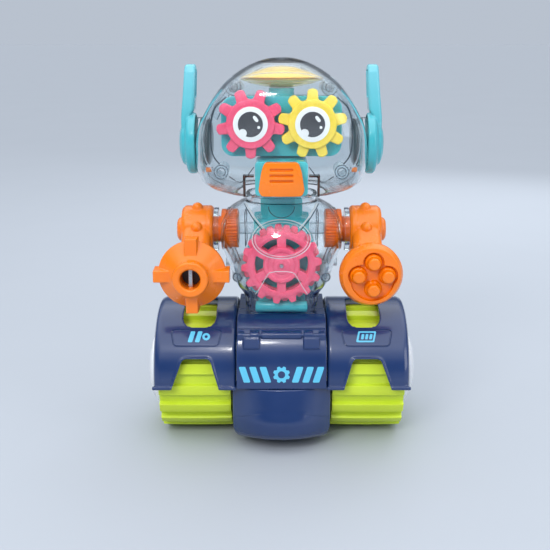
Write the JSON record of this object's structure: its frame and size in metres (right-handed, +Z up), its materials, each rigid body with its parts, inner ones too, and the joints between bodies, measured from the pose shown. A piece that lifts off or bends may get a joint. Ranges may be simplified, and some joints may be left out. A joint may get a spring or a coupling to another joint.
{
  "type": "two wheel robot car",
  "caption": "Clear-bodied toy robot with turning eye and chest gears and swinging arms, standing on a wide base with ribbed drum wheels.",
  "frame": {"origin": "on the floor, under the middle of the robot between the two wheels", "axes": "+Z up, the robot faces -Y, +X is towards its four-peg hand, along the wheel axle"},
  "size_m": [0.164, 0.104, 0.2242],
  "materials": {
    "navy": "glossy moulded plastic with a faint pearl",
    "lime": "satin moulded plastic",
    "white": "translucent glossy plastic",
    "clear": "clear moulded plastic",
    "teal": "glossy moulded plastic",
    "pink": "glossy moulded plastic, printed eye on the front",
    "yellow": "glossy moulded plastic, printed eye on the front",
    "orange": "glossy moulded plastic",
    "gold": "vacuum-metallised gold on plastic",
    "steel": "plated",
    "motor_can": "plated can",
    "battery": "printed metal jacket",
    "board": "circuit board lacquer",
    "dark": "matt moulded plastic",
    "rubber": "soft tyre"
  },
  "bodies": {
    "base": {"drive_motor": "motor_can", "fender_left": "navy", "fender_right": "navy", "front_cover": "navy", "rear_cover": "navy", "base_deck": "navy", "front_bumper": "navy", "rear_bumper": "navy", "base_tray": "navy", "battery_door": "navy", "battery_door_screw": "steel", "battery_1": "battery", "battery_2": "battery", "battery_3": "battery", "led_lamp": "clear", "circuit_board": "board", "speaker": "dark", "torso_front": "clear", "torso_rear": "clear", "collar_left": "clear", "collar_right": "clear", "neck_column": "teal", "chest_gearbox": "teal", "chest_motor": "motor_can", "head_front": "clear", "head_rear": "clear", "eye_gearbox": "teal", "eye_motor": "motor_can", "saucer": "gold", "chin_block": "teal", "mouth_grille": "orange", "ear_pod_left": "clear", "ear_left": "teal", "ear_pod_right": "clear", "ear_right": "teal", "head_screw_left": "steel", "head_screw_right": "steel", "torso_screw_left": "steel", "torso_screw_right": "steel"},
    "wheelset": {"wheel_left": "lime", "wheel_right": "lime", "hubcap_left": "white", "hubcap_right": "white", "axle": "steel", "drive_gear": "white"},
    "pinion": {"motor_pinion": "steel"},
    "eye_left": {"eye_gear_left": "pink"},
    "eye_right": {"eye_gear_right": "yellow"},
    "chest_gears": {"chest_gear": "pink", "chest_gear_rear": "pink", "chest_shaft": "steel"},
    "arm_left": {"drum_left": "orange", "arm_left": "orange", "hand_left": "orange"},
    "arm_right": {"drum_right": "orange", "arm_right": "orange", "hand_right": "orange"},
    "switch": {"switch_knob": "orange"},
    "caster": {"caster_fork": "dark"},
    "caster_wheel": {"caster_wheel": "rubber"}
  },
  "joints": [
    {"name": "wheel_spin", "type": "hinge", "parent": "base", "child": "wheelset", "pos_m": [0, 0, 0.03739], "axis": [1, 0, 0], "continuous": true},
    {"name": "pinion_spin", "type": "hinge", "parent": "base", "child": "pinion", "pos_m": [0, 0, 0.05264], "axis": [1, 0, 0], "continuous": true},
    {"name": "eye_left_spin", "type": "hinge", "parent": "base", "child": "eye_left", "pos_m": [-0.0171, -0.026, 0.1888], "axis": [0, 1, 0], "continuous": true},
    {"name": "eye_right_spin", "type": "hinge", "parent": "base", "child": "eye_right", "pos_m": [0.0171, -0.026, 0.1888], "axis": [0, 1, 0], "continuous": true},
    {"name": "chest_gear_spin", "type": "hinge", "parent": "base", "child": "chest_gears", "pos_m": [0, -0.024, 0.1083], "axis": [0, 1, 0], "continuous": true},
    {"name": "arm_left_swing", "type": "hinge", "parent": "base", "child": "arm_left", "pos_m": [-0.05, -0.0015, 0.124], "axis": [-1, 0, 0], "range_deg": [-20, 60]},
    {"name": "arm_right_swing", "type": "hinge", "parent": "base", "child": "arm_right", "pos_m": [0.05, -0.0015, 0.124], "axis": [-1, 0, 0], "range_deg": [-20, 60]},
    {"name": "power_switch", "type": "slide", "parent": "base", "child": "switch", "axis": [1, 0, 0], "range_m": [0, 0.006]},
    {"name": "caster_swivel", "type": "hinge", "parent": "base", "child": "caster", "pos_m": [0, 0.0345, 0.02], "axis": [0, 0, 1], "continuous": true},
    {"name": "caster_roll", "type": "hinge", "parent": "caster", "child": "caster_wheel", "pos_m": [0, 0.0375, 0.005], "axis": [1, 0, 0], "continuous": true}
  ],
  "couplings": [
    {"joint": "pinion_spin", "follows": "wheel_spin", "ratio": -2.75},
    {"joint": "eye_right_spin", "follows": "eye_left_spin", "ratio": -1}
  ]
}
